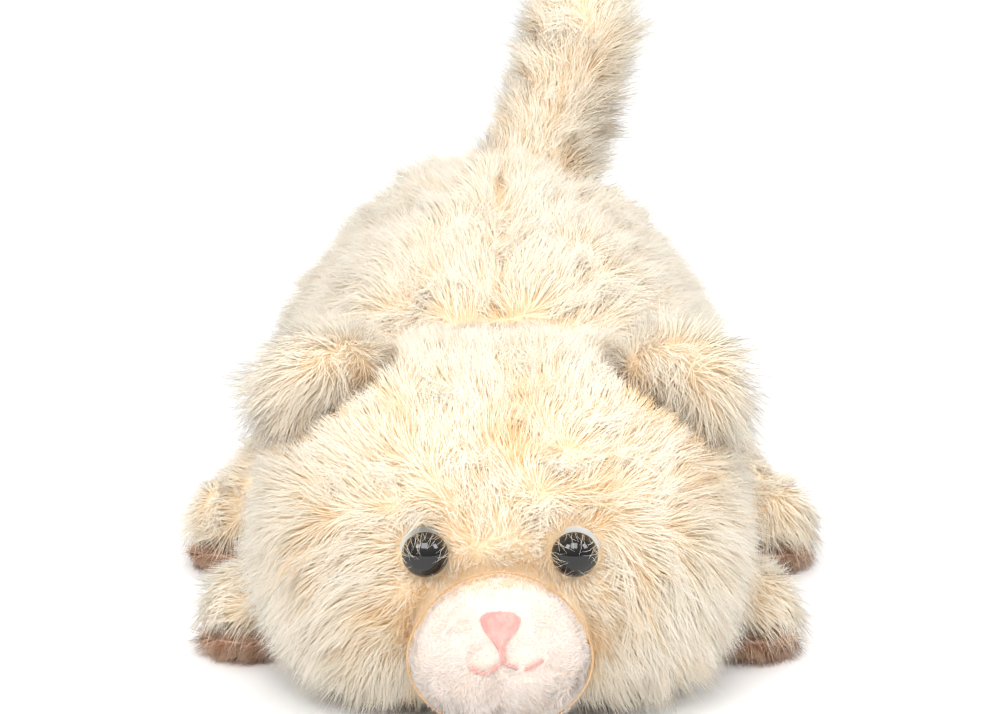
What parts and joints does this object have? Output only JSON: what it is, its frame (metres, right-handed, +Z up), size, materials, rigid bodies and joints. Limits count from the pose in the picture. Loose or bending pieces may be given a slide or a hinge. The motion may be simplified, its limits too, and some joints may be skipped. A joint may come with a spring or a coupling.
{
  "type": "plush cat",
  "caption": "Long-pile plush cat lying on its belly, head low between splayed legs, with folded ears, safety eyes, stitched nose and raised tail.",
  "frame": {"origin": "on the floor, midway between muzzle and rump and midway across", "axes": "+Z up, -Y where the cat looks, +X the cat's own left"},
  "size_m": [0.188, 0.2485, 0.1585],
  "materials": {
    "long_pile_plush": "long silky pile, cream with warmer roots",
    "short_pile_plush": "short velour pile, off-white",
    "sole_suede": "short brown-pink pile on the soles",
    "eye_plastic": "polished black",
    "washer_plastic": "plain white",
    "embroidery_thread": "pink satin stitch",
    "fibre_stuffing": "loose polyester fibre",
    "pouch_cotton": "plain woven cotton",
    "pellets": "small round plastic pellets"
  },
  "bodies": {
    "trunk": {"back_panel_left": "long_pile_plush", "back_panel_right": "long_pile_plush", "belly_panel": "long_pile_plush", "body_stuffing": "fibre_stuffing", "pellet_pouch": "pouch_cotton", "pellet_fill": "pellets"},
    "neck": {"neck_sleeve": "long_pile_plush", "neck_stuffing": "fibre_stuffing"},
    "head": {"head_gusset": "long_pile_plush", "head_side_left": "long_pile_plush", "head_side_right": "long_pile_plush", "chin_panel": "long_pile_plush", "head_stuffing": "fibre_stuffing", "muzzle_cover": "short_pile_plush", "muzzle_stuffing": "fibre_stuffing", "eye_left": "eye_plastic", "eye_right": "eye_plastic", "eye_washer_left": "washer_plastic", "eye_washer_right": "washer_plastic", "nose_embroidery": "embroidery_thread", "mouth_embroidery": "embroidery_thread"},
    "tail": {"tail_skin": "long_pile_plush", "tail_stuffing": "fibre_stuffing"},
    "ear_left": {"ear_left_outer": "long_pile_plush", "ear_left_inner": "long_pile_plush"},
    "front_leg_left": {"front_leg_left_skin": "long_pile_plush", "front_leg_left_sole": "sole_suede", "front_leg_left_stuffing": "fibre_stuffing"},
    "hind_leg_left": {"hind_leg_left_skin": "long_pile_plush", "hind_leg_left_sole": "sole_suede", "hind_leg_left_stuffing": "fibre_stuffing"},
    "ear_right": {"ear_right_outer": "long_pile_plush", "ear_right_inner": "long_pile_plush"},
    "front_leg_right": {"front_leg_right_skin": "long_pile_plush", "front_leg_right_sole": "sole_suede", "front_leg_right_stuffing": "fibre_stuffing"},
    "hind_leg_right": {"hind_leg_right_skin": "long_pile_plush", "hind_leg_right_sole": "sole_suede", "hind_leg_right_stuffing": "fibre_stuffing"}
  },
  "joints": [
    {"name": "head_turn", "type": "hinge", "parent": "trunk", "child": "neck", "pos_m": [0, -0.0655, 0.047], "axis": [0, 0, 1], "range_deg": [-10, 10], "stiffness_Nm_per_rad": 0.5},
    {"name": "head_nod", "type": "hinge", "parent": "neck", "child": "head", "pos_m": [0, -0.0205, 0.075], "axis": [-1, 0, 0], "range_deg": [0, 15], "stiffness_Nm_per_rad": 0.5},
    {"name": "ear_left_flip", "type": "hinge", "parent": "head", "child": "ear_left", "pos_m": [0.0455, -0.0655, 0.08], "axis": [-1, 0, 0], "range_deg": [0, 35], "stiffness_Nm_per_rad": 0.06},
    {"name": "front_leg_left_swing", "type": "hinge", "parent": "trunk", "child": "front_leg_left", "pos_m": [0.047, -0.008, 0.026], "axis": [0, 0, 1], "range_deg": [0, 30], "stiffness_Nm_per_rad": 0.2},
    {"name": "hind_leg_left_swing", "type": "hinge", "parent": "trunk", "child": "hind_leg_left", "pos_m": [0.06, 0.05, 0.026], "axis": [0, 0, 1], "range_deg": [-10, 25], "stiffness_Nm_per_rad": 0.2},
    {"name": "ear_right_flip", "type": "hinge", "parent": "head", "child": "ear_right", "pos_m": [-0.0455, -0.0655, 0.08], "axis": [-1, 0, 0], "range_deg": [0, 35], "stiffness_Nm_per_rad": 0.06},
    {"name": "front_leg_right_swing", "type": "hinge", "parent": "trunk", "child": "front_leg_right", "pos_m": [-0.047, -0.008, 0.026], "axis": [0, 0, -1], "range_deg": [0, 30], "stiffness_Nm_per_rad": 0.2},
    {"name": "hind_leg_right_swing", "type": "hinge", "parent": "trunk", "child": "hind_leg_right", "pos_m": [-0.06, 0.05, 0.026], "axis": [0, 0, -1], "range_deg": [-10, 25], "stiffness_Nm_per_rad": 0.2},
    {"name": "tail_wag", "type": "hinge", "parent": "trunk", "child": "tail", "pos_m": [0.005, 0.096, 0.1], "axis": [0, 1, 0], "range_deg": [-40, 15], "stiffness_Nm_per_rad": 0.15}
  ]
}
